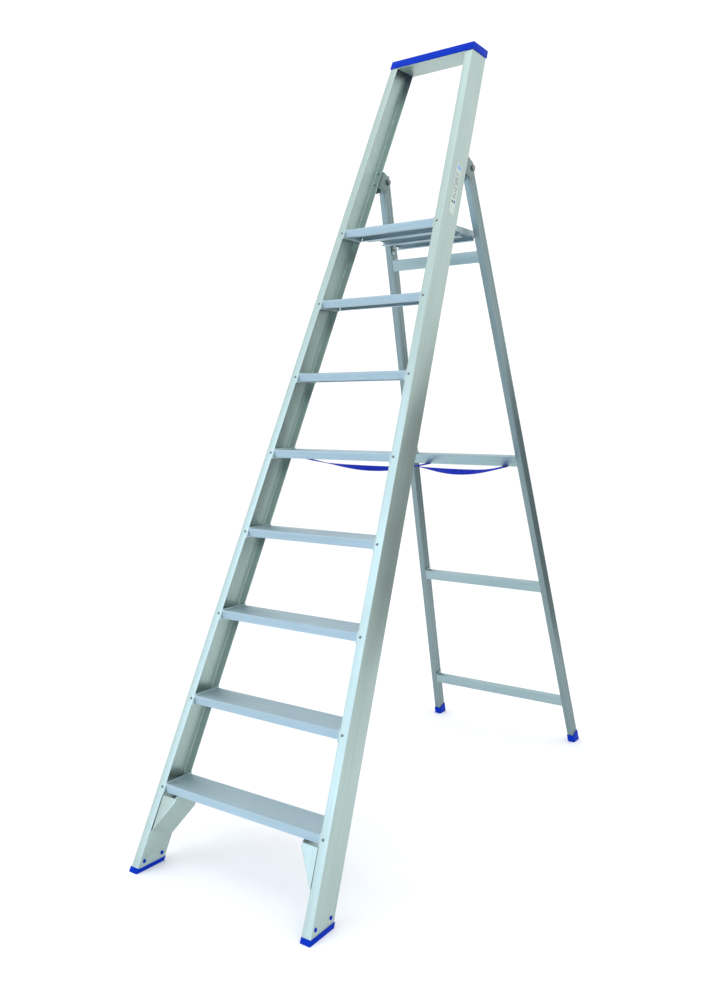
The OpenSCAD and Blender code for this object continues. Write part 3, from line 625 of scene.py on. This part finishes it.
# ---- blue mouldings ----
# The hoop's cap, the shoes, their locking pins and the rear cups are injection-moulded in one blue plastic.
# They are pushed on, and pins through the stiles hold the shoes.
cap_r, shoe_r, shoe_pin_r = 0.0016, 0.0012, 0.0008


def moulded():
    """Semi-matt blue plastic with a fine spark-eroded skin, paler where it is scuffed."""
    r = Recipe("blue_plastic")
    skin = r.noise(r.here(), 1600, 2)
    flow = r.noise(r.here(), 9, 3)
    scuffs = r.spread(r.noise(r.here(), 70, 6, 0.75), 0.63, 0.8)
    shade = r.blend(r.spread(flow, 0.3, 0.7), colour(0, 42, 164), colour(0, 50, 178))
    r.set(Base_Color=r.blend(r.calc("MULTIPLY", scuffs, 0.3), shade, colour(40, 90, 205)),
          Roughness=r.calc("ADD", r.spread(skin, 0.3, 0.7, 0.42, 0.52), r.calc("MULTIPLY", scuffs, 0.15)))
    r.shader.inputs["Specular IOR Level"].default_value = 0.05
    r.bump(skin, 0.00008, 0.5)
    return r.material


blue_plastic = moulded()
eased("top_cap", "hoop_cap", "front_frame", blue_plastic, cap_r, 4)
for word in side_words.values():
    eased("front_foot_" + word, word + "_shoe", "front_frame", blue_plastic, shoe_r, 3)
    eased("foot_pins_" + word, word + "_shoe_pins", "front_frame", blue_plastic,
          shoe_pin_r, 3)
    eased("rear_foot_" + word, word + "_rear_cup", "rear_frame", blue_plastic, shoe_r, 3)


# ---- rivets ----
# Aluminium blind rivets, set through the stiles into the tread brackets and hinge brackets, and through the
# webbing's ends.
head_r, strap_head_r = 0.0006, 0.0005
rivet_metal = sheet_metal("rivet_aluminium", (0.15, 0.18, 0.18), 0.35)
for word in side_words.values():
    eased("tread_rivets_" + word, word + "_tread_rivets", "front_frame",
          rivet_metal, head_r, 3)
    eased("hinge_rivets_" + word, word + "_hinge_rivets", "front_frame",
          rivet_metal, head_r, 3)
eased("tread_strap_rivets", "strap_rivets_front", "front_frame", rivet_metal,
      strap_head_r, 3)
eased("bar_strap_rivets", "strap_rivets_rear", "rear_frame", rivet_metal,
      strap_head_r, 3)


# ---- label ----
# A printed vinyl film stuck to the right stile's web. Its marks are plain: a pale blue block at the top, a
# column of thin grey bars, and a green and a blue dot below them.
film_r, bar_pitch, dot_r = 0.0001, 0.009, 0.0055


def vinyl():
    """The film's own axes give each mark's place: b is the distance back and u the distance up from its
    middle."""
    r = Recipe("label_vinyl")
    low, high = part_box("label")
    axes = upright_axes("stile_right", front_lean)
    turned = Matrix([list(a) for a in axes]).transposed().to_euler()
    own = r.add("Mapping", {"Vector": r.here(), "Rotation": turned, "Location": (low + high) / 2},
                vector_type="TEXTURE").outputs[0]
    place = r.add("SeparateXYZ", {"Vector": own})
    b, u = place.outputs[1], place.outputs[2]

    def within(value, middle, half):
        return r.calc("COMPARE", value, middle, half)

    def block(b_mid, b_half, u_mid, u_half):
        return r.calc("MULTIPLY", within(b, b_mid, b_half), within(u, u_mid, u_half))

    def dot(b_mid, u_mid):
        b_off, u_off = r.calc("SUBTRACT", b, b_mid), r.calc("SUBTRACT", u, u_mid)
        square = r.calc("ADD", r.calc("MULTIPLY", b_off, b_off), r.calc("MULTIPLY", u_off, u_off))
        return r.calc("LESS_THAN", square, dot_r * dot_r)

    film = r.blend(r.noise(r.here(), 500, 2), colour(176, 192, 186), colour(190, 204, 198))
    bars = r.calc("GREATER_THAN", r.calc("SINE", r.calc("MULTIPLY", u, 2 * math.pi / bar_pitch)), 0.25)
    ragged = r.calc("GREATER_THAN", r.noise(own, 160, 1), 0.45)
    bars = r.calc("MULTIPLY", r.calc("MULTIPLY", bars, ragged), block(0, 0.011, 0.012, 0.052))
    shade = r.blend(bars, film, colour(52, 58, 56))
    shade = r.blend(block(0.002, 0.010, 0.083, 0.008), shade, colour(120, 160, 215))
    shade = r.blend(dot(-0.006, -0.052), shade, colour(40, 120, 50))
    shade = r.blend(dot(0.007, -0.046), shade, colour(20, 50, 140))
    r.set(Base_Color=shade, Roughness=r.spread(r.noise(r.here(), 60, 3), 0.3, 0.7, 0.3, 0.42))
    r.bump(r.noise(r.here(), 40, 2), 0.0001, 0.3)
    return r.material


eased("label", "side_label", "front_frame", vinyl(), film_r, 1)


# ---- size ----
# The box around the pieces that are shown, with the floor and the panel left out.
low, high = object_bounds()
